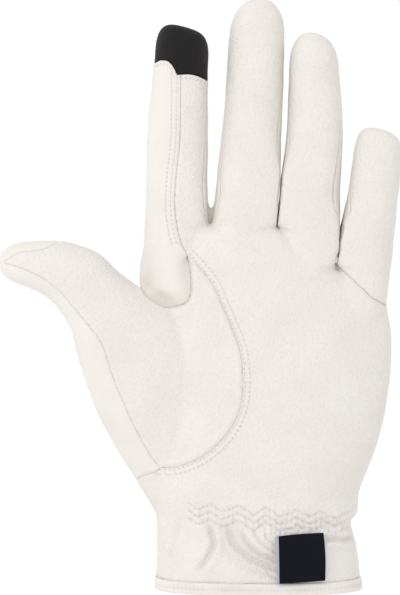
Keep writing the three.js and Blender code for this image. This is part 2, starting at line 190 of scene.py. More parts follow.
def handLevelAt(height):
    return [np.interp(height, handLevels[:, 0], column) for column in handLevels.T]


fingers = {
    "index": {
        "across": -0.642, "fork": 0.998, "length": 73.8, "width": 22.5, "lean": 0, "bow": 0.1,
        "slant": -0.22, "blunt": 3.7, "depth": 20, "leftTaper": 0.1, "rightTaper": 0.05,
    },
    "middle": {
        "across": -0.12, "fork": 0.998, "length": 85, "width": 22.2, "lean": 0.41, "bow": -0.13,
        "slant": -0.03, "blunt": 2.05, "depth": 20, "leftTaper": 0.03, "rightTaper": 0.07,
    },
    "ring": {
        "across": 0.397, "fork": 0.982, "length": 73.7, "width": 20.9, "lean": 0.32, "bow": -0.22,
        "slant": -0.2, "blunt": 2.25, "depth": 20, "leftTaper": 0.04, "rightTaper": 0.16,
    },
    "little": {
        "across": 0.83, "fork": 0.872, "length": 52.6, "width": 19.2, "lean": 0.42, "bow": -0.15,
        "slant": -0.26, "blunt": 3.1, "depth": 18.4, "leftTaper": 0.12, "rightTaper": 0.05,
    },
}
fingerShape = {
    "curl": 5, "flare": 0.1, "root": 0.4, "taperFrom": 0.5, "taperTo": 0.95, "tipRound": 0.62,
    "tipEnd": 0.985, "columns": 64, "rows": 24, "tipRows": 14,
}


def fingerAxis(finger, up):
    return finger["across"] * halfPalm + finger["width"] * (finger["lean"] * up + finger["bow"] * up * up)


# a point on a finger, across its half width and up its length
def onFinger(name, across, up):
    finger = fingers[name]
    x = fingerAxis(finger, up) + across * finger["width"] / 2
    return [x, finger["fork"] * palmLength + up * finger["length"]]


# Forks: the bottom's height, the heights between which the nearly closed gap opens, its share that is
# left while closed, how far the bottom goes down, and how far apart the fingers are made at first
forks = table(
    "left right bottom closed open least deeper spread",
    ("index", "middle", 143.5, 142, 160, 0.5, 4, 0),
    ("middle", "ring", 141.5, 158, 180, 0.08, 1, 3),
    ("ring", "little", 126.5, 136, 158, 0.08, 1, 2),
)
forkShape = {
    "below": 3, "spreadRise": 22, "pressRise": 1, "pressSides": (3.5, 11),
    "dipSides": (1.5, 7), "dipRise": 5, "dipHeight": 6,
}


def spreadAt(fork, z):
    low = fork["bottom"] - forkShape["below"]
    return fork["spread"] * ramp(z, low, fork["bottom"] + forkShape["spreadRise"])


def gapMiddle(fork, z):
    first, second = fingers[fork["left"]], fingers[fork["right"]]
    left = fingerAxis(first, (z - first["fork"] * palmLength) / first["length"]) + first["width"] / 2
    right = fingerAxis(second, (z - second["fork"] * palmLength) / second["length"]) - second["width"] / 2
    return (left + right) / 2


def fingerRings(name):
    finger = fingers[name]
    before = forks[: list(fingers).index(name)]
    tip = fingerShape["tipRound"] * finger["width"] / finger["length"]
    shaft = np.linspace(-fingerShape["root"], 1 - tip, fingerShape["rows"], endpoint=False)
    cap = np.sin(np.linspace(0, fingerShape["tipEnd"], fingerShape["tipRows"]) * math.pi / 2)
    turns = turnsOf(fingerShape["columns"])
    rings = []
    for up, into in [(up, 0) for up in shaft] + [(1 - tip * (1 - into), into) for into in cap]:
        flare = 1 + fingerShape["flare"] * (1 - up) ** 2
        half = flare * (1 - into ** finger["blunt"]) ** (1 / finger["blunt"]) / 2
        side = finger["width"] * half * rounded(np.cos(turns))
        taper = np.where(side < 0, finger["leftTaper"], finger["rightTaper"])
        side *= 1 - ramp(up, fingerShape["taperFrom"], fingerShape["taperTo"]) * taper
        y = finger["depth"] * half * rounded(np.sin(turns)) - fingerShape["curl"] * max(up, 0) ** 2
        z = finger["fork"] * palmLength + up * finger["length"] + finger["slant"] * side * into
        x = fingerAxis(finger, up) + side + sum(spreadAt(fork, z) for fork in before)
        rings.append(np.stack([x, y, z], axis=1))
    return rings


thumb = {
    "reach": 50, "tipDepth": 17, "ballDepth": 29, "thinning": 0.8, "forward": 14, "bend": 0.7,
    "roundFrom": 0.93, "roundTo": 1.005, "leastRound": 0.01, "columns": 64, "steps": 5,
}

# upper and lower edge of each section, out past the palm and up it, and how much of the way from the ball
# to the tip is gone
thumbSections = table(
    "topOut topUp lowOut lowUp gone",
    (-0.640, 0.500, -0.185, 0.210, 0.00),
    (-0.600, 0.620, -0.140, 0.236, 0.04),
    (-0.500, 0.700, -0.035, 0.298, 0.12),
    (-0.370, 0.755, 0.110, 0.378, 0.24),
    (-0.200, 0.785, 0.255, 0.470, 0.38),
    (-0.050, 0.815, 0.330, 0.550, 0.50),
    (0.090, 0.850, 0.410, 0.640, 0.60),
    (0.220, 0.893, 0.455, 0.700, 0.70),
    (0.380, 0.920, 0.545, 0.752, 0.79),
    (0.560, 0.934, 0.660, 0.791, 0.87),
    (0.740, 0.933, 0.790, 0.810, 0.93),
    (0.870, 0.927, 0.910, 0.827, 0.97),
    (0.945, 0.914, 0.980, 0.848, 0.99),
    (0.985, 0.900, 0.995, 0.872, 1.00),
)


def onPalm(row):
    return [row["across"] * halfPalm, row["up"] * palmLength]


def onThumb(out, up):
    return [-halfPalm - out * thumb["reach"], up * palmLength]


def thumbRings():
    turns = turnsOf(thumb["columns"])
    sections = smoothCurve([list(row.values()) for row in thumbSections], thumb["steps"])
    rings = []
    for topOut, topUp, lowOut, lowUp, gone in sections:
        gone = min(max(gone, 0), 1)
        top = np.array(onThumb(topOut, topUp))
        low = np.array(onThumb(lowOut, lowUp))
        ending = max(gone - thumb["roundFrom"], 0) / (thumb["roundTo"] - thumb["roundFrom"])
        depth = thumb["ballDepth"] + (thumb["tipDepth"] - thumb["ballDepth"]) * gone ** thumb["thinning"]
        deep = depth * math.sqrt(max(1 - ending**2, thumb["leastRound"])) / 2
        x, z = ((top + low)[:, None] + (top - low)[:, None] * rounded(np.cos(turns))) / 2
        y = deep * rounded(np.sin(turns)) - thumb["forward"] * gone ** thumb["bend"]
        rings.append(np.stack([x, y, z], axis=1))
    return rings


# a closed tube through rings of equal count, made by extruding the first ring
def loft(bm, rings):
    column = bm.verts.layers.int.get("column") or bm.verts.layers.int.new("column")
    ring = bmesh.ops.create_circle(bm, segments=len(rings[0]), radius=1)["verts"]
    for k, vert in enumerate(ring):
        vert[column] = k
    edges = list({edge for vert in ring for edge in vert.link_edges})
    first = edges
    for number, points in enumerate(rings):
        if number:
            grown = bmesh.ops.extrude_edge_only(bm, edges=edges)["geom"]
            edges = [g for g in grown if isinstance(g, bmesh.types.BMEdge) and g.is_boundary]
            ring = [g for g in grown if isinstance(g, bmesh.types.BMVert)]
        for vert in ring:
            vert.co = Vector(points[vert[column]]) * mm
    return first, edges


# the lofts fused into one even skin
def fusedSkin():
    bm = bmesh.new()
    forms = [
        [handRing(level, turnsOf(hand["columns"])) for level in handLevels],
        *[fingerRings(name) for name in fingers],
        thumbRings(),
    ]
    for rings in forms:
        for end in loft(bm, rings):
            bmesh.ops.edgeloop_fill(bm, edges=end)
    form = newObject("form", meshOf("form", bm))
    fuse = form.modifiers.new("fuse", "REMESH")
    fuse.mode = "VOXEL"
    fuse.voxel_size = skin["voxel"] * mm
    shown = form.evaluated_get(bpy.context.evaluated_depsgraph_get())
    bm.clear()
    bm.from_mesh(shown.to_mesh())
    bpy.data.objects.remove(form)
    return bm


def pointsOf(bm):
    return np.array([vert.co[:] for vert in bm.verts]) / mm


def normalsOf(bm):
    bm.normal_update()
    return np.array([vert.normal[:] for vert in bm.verts])


def placePoints(bm, points):
    for vert, point in zip(bm.verts, points * mm):
        vert.co = point


smoothing = {
    "rounds": 70, "share": 0.8, "step": 0.5, "back": -0.52, "refineRounds": 4,
    "rootRise": (92, 112), "rootFall": (150, 162), "thumbAt": (-46, 92), "thumbReach": 34,
}


# evens out values at the vertices towards their neighbours; every second step pushes back
def relaxed(bm, values, rounds, share):
    bm.verts.index_update()
    heads, tails = np.array([[vert.index for vert in edge.verts] for edge in bm.edges]).T
    total = len(values)
    count = (np.bincount(heads, minlength=total) + np.bincount(tails, minlength=total))[:, None]
    values = values.copy()
    for number in range(rounds):
        near = [
            np.bincount(heads, values[tails, axis], total) + np.bincount(tails, values[heads, axis], total)
            for axis in range(values.shape[1])
        ]
        step = smoothing["back"] if number % 2 else smoothing["step"]
        values += step * share * (np.stack(near, axis=1) / count - values)
    return values


bm = fusedSkin()
points = pointsOf(bm)
rootZone = ramp(points[:, 2], *smoothing["rootRise"]) * (1 - ramp(points[:, 2], *smoothing["rootFall"]))
thumbX, thumbZ = smoothing["thumbAt"]
thumbZone = bell(np.hypot(points[:, 0] - thumbX, points[:, 2] - thumbZ), smoothing["thumbReach"])
share = np.clip(smoothing["share"] + rootZone + thumbZone, 0, 1)[:, None]
points = relaxed(bm, points, smoothing["rounds"], share)

# The fingers come back together, and their sides nearly meet down to the bottom of each fork
x, z = points[:, 0], points[:, 2]
for fork in forks:
    x -= spreadAt(fork, z) * (x > gapMiddle(fork, z) + spreadAt(fork, z) / 2)
for fork in forks:
    away = x - gapMiddle(fork, z)
    low = fork["bottom"] - forkShape["below"]
    near = 1 - ramp(np.abs(away), *forkShape["pressSides"])
    near *= ramp(z, low, fork["bottom"] + forkShape["pressRise"])
    shut = (1 - fork["least"]) * (1 - ramp(z, fork["closed"], fork["open"]))
    x -= away * near * shut
    sides = 1 - ramp(np.abs(away), *forkShape["dipSides"])
    z -= fork["deeper"] * sides * bell(z - fork["bottom"] - forkShape["dipRise"], forkShape["dipHeight"])
placePoints(bm, points)
print("skin:", len(bm.faces), "faces")


# Seams: lines in X and Z, as shares of half the palm's width, the thumb's reach or the finger, and of the
# palm's or the finger's length

pocketSeam = table(
    "across up",
    (-0.945, 0.816), (-0.845, 0.784), (-0.729, 0.763), (-0.629, 0.763), (-0.56, 0.776),
    (-0.536, 0.808), (-0.544, 0.856),
)
ballSeam = table(
    "across up",
    (-0.559, 0.898), (-0.459, 0.86), (-0.359, 0.816), (-0.29, 0.763), (-0.214, 0.702),
    (-0.152, 0.644), (-0.129, 0.579), (-0.137, 0.513), (-0.183, 0.46), (-0.29, 0.407),
    (-0.421, 0.368), (-0.536, 0.347), (-0.651, 0.334), (-0.766, 0.331),
)
littleSeam = table(
    "across up",
    (0.596, 0.874), (0.629, 0.861), (0.698, 0.84), (0.814, 0.803), (0.914, 0.776), (1.2, 0.735),
)
thumbSeam = table(
    "out up",
    (-0.157, 0.361), (-0.043, 0.435), (0.057, 0.513), (0.133, 0.579), (0.209, 0.658),
    (0.301, 0.703), (0.415, 0.75), (0.529, 0.797), (0.681, 0.837), (0.857, 0.863), (0.96, 0.873),
)
thumbTipSeam = table("out up", (0.963, 0.877), (0.833, 0.902), (0.697, 0.908), (0.59, 0.922), (0.45, 0.96))
thumbRootSeam = table(
    "across up",
    (-0.945, 0.816), (-0.89, 0.67), (-0.82, 0.51), (-0.77, 0.39), (-0.766, 0.331), (-0.9, 0.308),
)
underBallSeam = table("across up", (-0.72, 0.74), (-0.62, 0.6), (-0.62, 0.42))
gussetSeam = table(
    "across up",
    (0.02, 0.83), (0.08, 0.6), (0.09, 0.39), (0, 0.235), (-0.06, 0.08), (0.02, -0.05), (0.16, -0.14),
)
capSeam = table(
    "across up",
    (-1.4, 0.795), (-0.85, 0.808), (-0.68, 0.816), (-0.44, 0.81), (-0.27, 0.788), (-0.15, 0.757),
    (-0.08, 0.738), (0.28, 0.741), (0.57, 0.735), (0.98, 0.715), (1.4, 0.7),
)

seamSteps = 6
pocket = smoothCurve([onPalm(row) for row in pocketSeam], seamSteps)
ball = smoothCurve([onPalm(row) for row in ballSeam], seamSteps)
little = smoothCurve([onPalm(row) for row in littleSeam], seamSteps)
outerThumb = smoothCurve([onThumb(**row) for row in thumbSeam], seamSteps)
thumbTip = smoothCurve([onThumb(**row) for row in thumbTipSeam], seamSteps)
thumbRoot = smoothCurve([onPalm(row) for row in thumbRootSeam], seamSteps)
underBall = [onPalm(row) for row in underBallSeam]
gusset = smoothCurve([onFinger("index", **row) for row in gussetSeam], seamSteps)
capEdge = smoothCurve([onFinger("index", **row) for row in capSeam], seamSteps)


# distance in X and Z to a line, or with its sign to a closed outline, negative inside
def offLine(points, line, closed=False):
    x, z = points[:, 0], points[:, 2]
    nearest = np.full(len(points), 1e9)
    inside = np.zeros(len(points), bool)
    line = np.asarray(line, float)
    ends = np.roll(line, -1, axis=0) if closed else line[1:]
    for (ax, az), (bx, bz) in zip(line, ends):
        dx, dz = bx - ax, bz - az
        t = np.clip(((x - ax) * dx + (z - az) * dz) / max(dx * dx + dz * dz, 1e-9), 0, 1)
        nearest = np.minimum(nearest, (x - ax - t * dx) ** 2 + (z - az - t * dz) ** 2)
        if closed:
            crosses = (az > z) != (bz > z)
            inside ^= crosses & (x < ax + (z - az) * dx / (dz if dz else 1))
    away = np.sqrt(nearest)
    return np.where(inside, -away, away) if closed else away


thumbLean = thumb["forward"] / 2 / thumb["reach"]
strip = {
    "width": 12.5, "overlap": 2.4,
    "taper": table("up share", (-0.35, 1), (0.1, 1), (0.5, 0.72), (0.8, 0.2), (0.86, 0)),
    "front": {"index": 1.15, "middle": 1.3, "ring": 1.4}, "otherFront": 0.9, "littleFront": 1.25,
    "frontRise": 0.08, "middleAt": 0.3,
}
gussetBehind = 3  # how far the gusset runs on behind the middle of the index finger's side

# The fields of the panels, negative inside. Corners typed in them only close an outline past its panel.


def capField(points):
    top = onFinger("index", 0, 1.6)[1]
    return offLine(points, [*capEdge, [capEdge[-1][0], top], [capEdge[0][0], top]], closed=True)


def thumbFrontField(points):
    outline = [*pocket, *ball, *outerThumb, *thumbTip, onThumb(0.2, 0.93)]
    behind = points[:, 1] + thumb["forward"] / 2 - thumbLean * (points[:, 0] + halfPalm)
    return np.maximum(offLine(points, outline, closed=True), behind)


def gussetField(points):
    side = [onFinger("index", *place) for place in [(-1.5, -0.3), (-1.5, 0.95), (0.02, 0.95)]]
    outline = [*gusset, ball[0], *pocket[::-1], *side]
    return np.maximum(offLine(points, outline, closed=True), points[:, 1] - gussetBehind)


def thumbBackField(points):
    around = [onThumb(*place) for place in [(0.2, 0.25), (1.2, 0.3), (1.2, 1.0), (0.2, 0.95)]]
    whole = offLine(points, [*thumbRoot, *around], closed=True)
    under = offLine(points, [*pocket[: seamSteps + 1], *underBall, thumbRoot[-seamSteps - 1]], closed=True)
    return np.minimum(whole, np.maximum(under, points[:, 1]))


def stripHalf(name, points, wide):
    finger = fingers[name]
    up = (points[:, 2] - finger["fork"] * palmLength) / finger["length"]
    taper = np.interp(up, [row["up"] for row in strip["taper"]], [row["share"] for row in strip["taper"]])
    ends = np.maximum(up - strip["taper"][-1]["up"], strip["taper"][0]["up"] - up) * finger["length"]
    front = np.where(points[:, 1] < 0, 1 + (wide - 1) * ramp(up, 0, strip["frontRise"]), 1)
    return np.maximum(np.abs(points[:, 1]) - strip["width"] / 2 * taper * front, ends)


# the strip between two fingers: a half on each, which meet under the fork
def stripField(first, second):
    up = strip["middleAt"]
    start = fingerAxis(fingers[first], up)
    end = fingerAxis(fingers[second], up)
    between = (onFinger(first, 1, up)[0] + onFinger(second, -1, up)[0]) / 2
    secondFront = strip["littleFront"] if second == "little" else strip["otherFront"]

    def field(points):
        x = points[:, 0]
        left = stripHalf(first, points, strip["front"][first])
        left = np.maximum(left, np.maximum(start - x, x - between - strip["overlap"]))
        right = stripHalf(second, points, secondFront)
        right = np.maximum(right, np.maximum(between - strip["overlap"] - x, x - end))
        return np.minimum(left, right)

    return field


def littleField(points):
    sides = [onFinger("little", *place) for place in [(1.6, 1.3), (-1.25, 1.3), (-1.15, 0.6), (-1.1, 0.25)]]
    return np.maximum(offLine(points, [*little, *sides], closed=True), points[:, 1])


# in the order in which they are cut; what is left over is the palm panel
panelFields = {
    "index_tip_cap": capField,
    "thumb_front": thumbFrontField,
    "index_gusset": gussetField,
    "thumb_back": thumbBackField,
    "strip_index_middle": stripField("index", "middle"),
    "strip_middle_ring": stripField("middle", "ring"),
    "strip_ring_little": stripField("ring", "little"),
    "little_front": littleField,
    "back_panel": lambda points: -points[:, 1],
}
panelNames = ["palm_panel", *panelFields]
hem = {
    "height": 4.6, "gap": -0.1, "columns": 520, "around": 33, "gathers": 0.6, "uneven": 0.1,
    "stitchHeight": 2.3, "stitchPitch": 1.55, "stitchWidth": 0.5, "stitchPull": 0.16, "stitchSink": 0.22,
    "tuck": 0.4, "tuckHeight": 0.7, "edgePaintedShadow": 0.9, "edgeHeight": 0.35,
}


# finer faces beside the seams and over the gathered cuff
def refine(bm):
    points = pointsOf(bm)
    near = (points[:, 2] < skin["cuffBand"]) & (points[:, 1] < skin["cuffBehind"])
    for field in panelFields.values():
        near |= np.abs(field(points)) < skin["seamBand"]
    bm.verts.index_update()
    faces = [face for face in bm.faces if all(near[vert.index] for vert in face.verts)]
    edges = list({edge for face in faces for edge in face.edges})
    bmesh.ops.subdivide_edges(bm, edges=edges, cuts=1, use_grid_fill=True)
    placePoints(bm, relaxed(bm, pointsOf(bm), smoothing["refineRounds"], 1.0))


# splits the free faces along a field's zero line, and gives those inside to a panel
def takePanel(bm, number, field):
    panel = bm.faces.layers.int["panel"]
    off = bm.verts.layers.float["off"]
    values = field(pointsOf(bm))
    values[np.abs(values) < skin["snap"]] = 0
    for vert, value in zip(bm.verts, values):
        vert[off] = value
    free = {edge for face in bm.faces if face[panel] == 0 for edge in face.edges}
    for edge in sorted(free, key=lambda edge: edge.index):
        start, end = edge.verts
        if start[off] * end[off] < 0:
            fresh = bmesh.utils.edge_split(edge, start, start[off] / (start[off] - end[off]))[1]
            fresh[off] = 0
    bmesh.ops.connect_verts(bm, verts=[vert for vert in bm.verts if vert[off] == 0])
    for face in bm.faces:
        if face[panel] == 0 and sum(vert[off] for vert in face.verts) < 0:
            face[panel] = number


refine(bm)
print("refined:", len(bm.faces), "faces")
panelLayer = bm.faces.layers.int.new("panel")
bm.verts.layers.float.new("off")
cutPlane = Vector((0, 0, (hem["height"] + hem["gap"]) * mm))
bmesh.ops.bisect_plane(
    bm, geom=bm.verts[:] + bm.edges[:] + bm.faces[:], plane_co=cutPlane, plane_no=(0, 0, 1), clear_inner=True,
)
for number, field in enumerate(panelFields.values(), start=1):
    bm.edges.index_update()
    takePanel(bm, number, field)
print("panels cut:", len(bm.faces), "faces")

# Each seam's edges, by the two panels that it joins, then the panels come apart along them
seams = {}
for edge in bm.edges:
    pair = tuple(sorted({face[panelLayer] for face in edge.link_faces}))
    if len(pair) == 2:
        seams.setdefault(pair, []).append(edge)
seamPoints = {
    pair: [edge.verts[0].co.lerp(edge.verts[1].co, t) for edge in edges for t in (0.0, 0.25, 0.5, 0.75)]
    for pair, edges in seams.items()
}
outward = bm.verts.layers.float_vector.new("outward")
bm.normal_update()
for vert in bm.verts:
    vert[outward] = vert.normal
bmesh.ops.split_edges(bm, edges=[edge for edges in seams.values() for edge in edges])
bm.verts.index_update()
bm.faces.index_update()
points = pointsOf(bm)
normals = np.array([vert[outward][:] for vert in bm.verts])
panelOf = np.array([vert.link_faces[0][panelLayer] for vert in bm.verts])

# How a panel's edge runs into a seam: it dips over a width, with a soft roll beside it, and dark is how much
# painted shade lies along the seam
seamShapes = table(
    "panel beside dip width roll rollAt rollWidth dark",
    ("index_gusset", "thumb_front", 1.7, 3.2, 0.0, 1.0, 1.0, 0.8),
    ("thumb_front", "index_gusset", 1.7, 0.9, 0.3, 1.9, 1.2, 0.8),
    ("index_gusset", "palm_panel", 0.35, 0.5, 0.12, 1.1, 0.6, 0.8),
    ("palm_panel", "index_gusset", 0.35, 0.5, 0.08, 1.2, 0.6, 0.8),
    ("thumb_front", "palm_panel", 0.22, 0.4, 0.46, 1.4, 0.8, 0.1),
    ("palm_panel", "thumb_front", 0.22, 0.8, 0.12, 3.0, 0.8, 0.1),
    ("palm_panel", "index_tip_cap", 0.0, 0.3, 0.35, 0.5, 0.45, 0.0),
    ("index_gusset", "index_tip_cap", 0.0, 0.3, 0.35, 0.5, 0.45, 0.0),
    ("index_tip_cap", "palm_panel", 0.6, 0.5, 0.0, 1.0, 1.0, 1.0),
    ("index_tip_cap", "index_gusset", 0.6, 0.5, 0.0, 1.0, 1.0, 1.0),
    ("thumb_front", "thumb_back", 0.25, 0.5, 0.15, 1.3, 0.7, 0.3),
    ("thumb_back", "thumb_front", 0.25, 0.6, 0.1, 1.5, 0.7, 0.3),
    ("palm_panel", "little_front", 0.45, 1.5, 0.0, 1.5, 0.7, 0.8),
    ("little_front", "palm_panel", 0.3, 0.5, 0.2, 1.0, 0.6, 0.5),
)
plainSeam = {"dip": 0.3, "width": 0.5, "roll": 0.1, "rollAt": 1.1, "rollWidth": 0.6, "dark": 0.7}
seamBlend = {"near": 0.3, "power": 4, "darkWidth": 0.3}  # where seams meet, the nearest one counts most; darkWidth is how wide the painted seam shade reaches


def seamPush(panel):
    own = np.flatnonzero(panelOf == panel)
    total = np.zeros(len(own))
    weights = np.full(len(own), 1e-6)
    paintedSeamShade = np.zeros(len(own))
    for pair, places in seamPoints.items():
        if panel not in pair:
            continue
        tree = KDTree(len(places))
        for k, place in enumerate(places):
            tree.insert(place, k)
        tree.balance()
        away = np.array([tree.find(Vector(point * mm))[2] for point in points[own]]) / mm
        names = (panelNames[panel], panelNames[pair[0] if pair[1] == panel else pair[1]])
        shape = next((s for s in seamShapes if (s["panel"], s["beside"]) == names), plainSeam)
        push = shape["roll"] * bell(away - shape["rollAt"], shape["rollWidth"])
        push -= shape["dip"] * bell(away, shape["width"])
        weight = 1 / (away + seamBlend["near"]) ** seamBlend["power"]
        total += weight * push
        weights += weight
        # painted shade along the seam, strongest at the seam line
        paintedSeamShade = np.maximum(paintedSeamShade, shape["dark"] * bell(away, seamBlend["darkWidth"]))
    return own, total / weights, paintedSeamShade


push = np.zeros(len(points))
# painted shade along each panel's seams, where the groove lies in shadow
seamPaintedShade = np.zeros(len(points))
for panel in range(len(panelNames)):
    own, pushed, paintedSeamShade = seamPush(panel)
    push[own] = pushed
    seamPaintedShade[own] = paintedSeamShade
print("seams shaped:", len(seams))

# Creases of the palm side, as lines in X and Z: a dip along the line, and a puff on both sides of it
creaseShape = {"fadeIn": (-0.05, 0.2), "fadeOut": (0.8, 1.05), "puffAt": 2.2, "puffWidth": 1.4}
creases = [
    {"line": [(-31, 27), (-33, 20), (-34.5, 11)], "depth": 0.6, "width": 1.3, "puff": 0.25},
    {"line": [(-21.5, 29), (-18.6, 23.6), (-17.6, 19.4), (-20, 14.5), (-24, 8)],
     "depth": 1.3, "width": 1.1, "puff": 0.4},
    {"line": [(-14, 28), (-11.6, 23.8), (-9.8, 19.2), (-4.7, 15), (0, 12.6), (9, 9.2)],
     "depth": 2.1, "width": 1.4, "puff": -0.9},
    {"line": [(-8, 26), (-4.6, 20), (0, 16), (8, 12.6)], "depth": 0.9, "width": 0.8, "puff": 0.15},
    {"line": [(-3, 26), (0.2, 20.6), (8, 15.5)], "depth": 0.7, "width": 0.7, "puff": 0.1},
    {"line": [(1.5, 25), (3.2, 21.6), (8, 18)], "depth": 0.5, "width": 0.6, "puff": 0.1},
    {"line": [(2, 9.4), (5.5, 7.2), (9, 5.6)], "depth": 0.5, "width": 0.8, "puff": 0.0},
    {"line": [(22, 21), (28, 20.8), (33, 20.2), (40, 20.6)], "depth": 1.2, "width": 1.0, "puff": 0.8},
    {"line": [(35.4, 20), (36.4, 13), (36.8, 5)], "depth": 0.35, "width": 0.35, "puff": 0.1},
]
facing = ramp(-normals[:, 1], 0.05, 0.5)


def creasePush(crease):
    line = smoothCurve(crease["line"], 6)
    away = offLine(points, line)
    start, end = line[0], line[-1]
    span = np.linalg.norm(end - start)
    way = (end - start) / span
    along = ((points[:, 0] - start[0]) * way[0] + (points[:, 2] - start[1]) * way[1]) / span
    fade = ramp(along, *creaseShape["fadeIn"]) * (1 - ramp(along, *creaseShape["fadeOut"]))
    width = crease["width"]
    dip = -crease["depth"] * bell(away, width)
    puff = crease["puff"] * bell(away - creaseShape["puffAt"] * width, creaseShape["puffWidth"] * width)
    return (dip + puff) * fade * facing


for crease in creases:
    push += creasePush(crease)

# Smocked waist: three zigzag rows of thread pull the leather into small puffs
smock = {
    "from": -28, "to": 35, "fadeStart": -2, "fadeEnd": 4, "left": 31, "right": 26.6,
    "wander": ((0.3, 0.43, 0), (0.18, 1.37, 1)),  # height, rate and start of each wave
    "rows": (-2.9, 0, 2.9), "period": 10.7, "swing": 1.6, "drift": (0.35, 0.31), "point": 0.95,
    "depth": 0.42, "width": 0.55, "pitch": 1.6, "tight": (0.7, 0.3), "below": 0.8,
    "pucker": 0.2, "puckerPitch": 2.3, "puckerDrift": 2.5, "puckerReach": 5.2,
    "puff": 0.5, "puffSize": 2.2, "puffReach": 4.6, "puffPlay": 0.2, "puffMore": 0.1, "moreFrom": (5, 20),
}


def smockMiddle(x):
    wander = sum(high * np.sin(rate * x + start) for high, rate, start in smock["wander"])
    return np.interp(x, [smock["from"], smock["to"]], [smock["left"], smock["right"]]) + wander


def zigzag(x):
    drift, rate = smock["drift"]
    turn = 2 * math.pi * x / smock["period"] + drift * np.sin(rate * x)
    return smock["swing"] * 2 / math.pi * np.arcsin(smock["point"] * np.sin(turn))


# grows from 0 to 1 across one end of the smocking
def smockEnd(x, end):
    return ramp(x, smock[end] + smock["fadeStart"], smock[end] + smock["fadeEnd"])


x, z = points[:, 0], points[:, 2]
wobble = ripples(points, 9, 3)
fromMiddle = z - smockMiddle(x)
fromPuffs = fromMiddle + smock["below"]
inBand = facing * smockEnd(x, "from") * (1 - smockEnd(x, "to"))
tight = smock["tight"][0] + smock["tight"][1] * np.cos(2 * math.pi * x / smock["pitch"])
for row in smock["rows"]:
    push -= inBand * smock["depth"] * tight * bell(fromMiddle - row - zigzag(x), smock["width"])
puckers = np.sin(2 * math.pi * x / smock["puckerPitch"] + smock["puckerDrift"] * wobble)
push += inBand * smock["pucker"] * puckers * bell(fromPuffs, smock["puckerReach"])
puffs = ripples(points, smock["puffSize"], 5, 12)
play = smock["puffPlay"] + smock["puffMore"] * ramp(x, *smock["moreFrom"])
push += inBand * bell(fromPuffs, smock["puffReach"]) * (smock["puff"] + play * puffs)

# Soft unevenness of filled leather, and the small scallops that the thumb's outer seam draws
uneven = table("height size seed", (0.16, 26, 1), (0.05, 9, 2))
scallop = {"height": 0.28, "pitch": 4.8, "rise": (74, 80), "fall": (108, 114), "facing": (0.4, 0.9)}
push += sum(wave["height"] * ripples(points, wave["size"], wave["seed"]) for wave in uneven)
onBack = panelOf == panelNames.index("thumb_back")
scallops = onBack * ramp(z, *scallop["rise"]) * (1 - ramp(z, *scallop["fall"]))
outer = ramp(-normals[:, 0], *scallop["facing"])
push += scallop["height"] * scallops * outer * np.abs(np.sin(math.pi * z / scallop["pitch"]))

# The cuff runs in under its binding, and a painted shadow darkens it along the binding's top edge
push -= hem["tuck"] * bell(z - hem["height"], hem["tuckHeight"])
seamPaintedShade += hem["edgePaintedShadow"] * bell(z - hem["height"], hem["edgeHeight"])
placePoints(bm, points + normals * push[:, None])

# Slivers that the push turned over are evened out
sliver = {"turned": -0.2, "rounds": 6, "factor": 0.5}
bm.normal_update()
limit = sliver["turned"]
turned = {vert for face in bm.faces for vert in face.verts if face.normal.dot(vert[outward]) < limit}
inner = [vert for vert in turned if not vert.is_boundary]
axes = {"use_axis_x": True, "use_axis_y": True, "use_axis_z": True}
for _ in range(sliver["rounds"]):
    bmesh.ops.smooth_vert(bm, verts=inner, factor=sliver["factor"], **axes)
points = pointsOf(bm)
print("slivers evened out:", len(inner))
paintedShadeShares = {"deepest": 1.8, "dip": 0.5, "seam": 0.36}  # how dark the painted shade in dips and along seams gets
# painted shade: the deeper a dip and the nearer a seam, the darker the leather is painted
paintedShade = paintedShadeShares["dip"] * np.clip(-push / paintedShadeShares["deepest"], 0, 1) + paintedShadeShares["seam"] * seamPaintedShade

# Rows of stitches beside seams: the line, the panel, and how far to its left each row runs
stitchRows = [
    {"line": capEdge[::-1], "panel": "palm_panel", "first": 1.3, "spacing": 1.9, "rows": 1, "pitch": 1.6},
    {"line": capEdge[::-1], "panel": "index_gusset", "first": 1.3, "spacing": 1.9, "rows": 1, "pitch": 1.6},
    {"line": ball, "panel": "palm_panel", "first": 0.75, "spacing": 1.9, "rows": 2, "pitch": 1.75},
    {"line": gusset[::-1], "panel": "index_gusset", "first": 1.7, "spacing": 1.9, "rows": 2, "pitch": 1.75},
]


# the line moved to its left, with points at an even pitch
def besideLine(line, away, pitch):
    line = np.asarray(line, float)
    way = np.gradient(line, axis=0)
    way /= np.maximum(np.linalg.norm(way, axis=1), 1e-9)[:, None]
    moved = line + away * np.stack([-way[:, 1], way[:, 0]], axis=1)
    gone = np.concatenate([[0], np.cumsum(np.linalg.norm(np.diff(moved, axis=0), axis=1))])
    places = np.arange(pitch / 2, gone[-1], pitch)
    return np.stack([np.interp(places, gone, moved[:, 0]), np.interp(places, gone, moved[:, 1])], axis=1)


thread = {"thick": 0.36, "fill": 0.72, "reach": 0.35, "proud": 0.05}
rayFrom = -200  # in front of the palm side


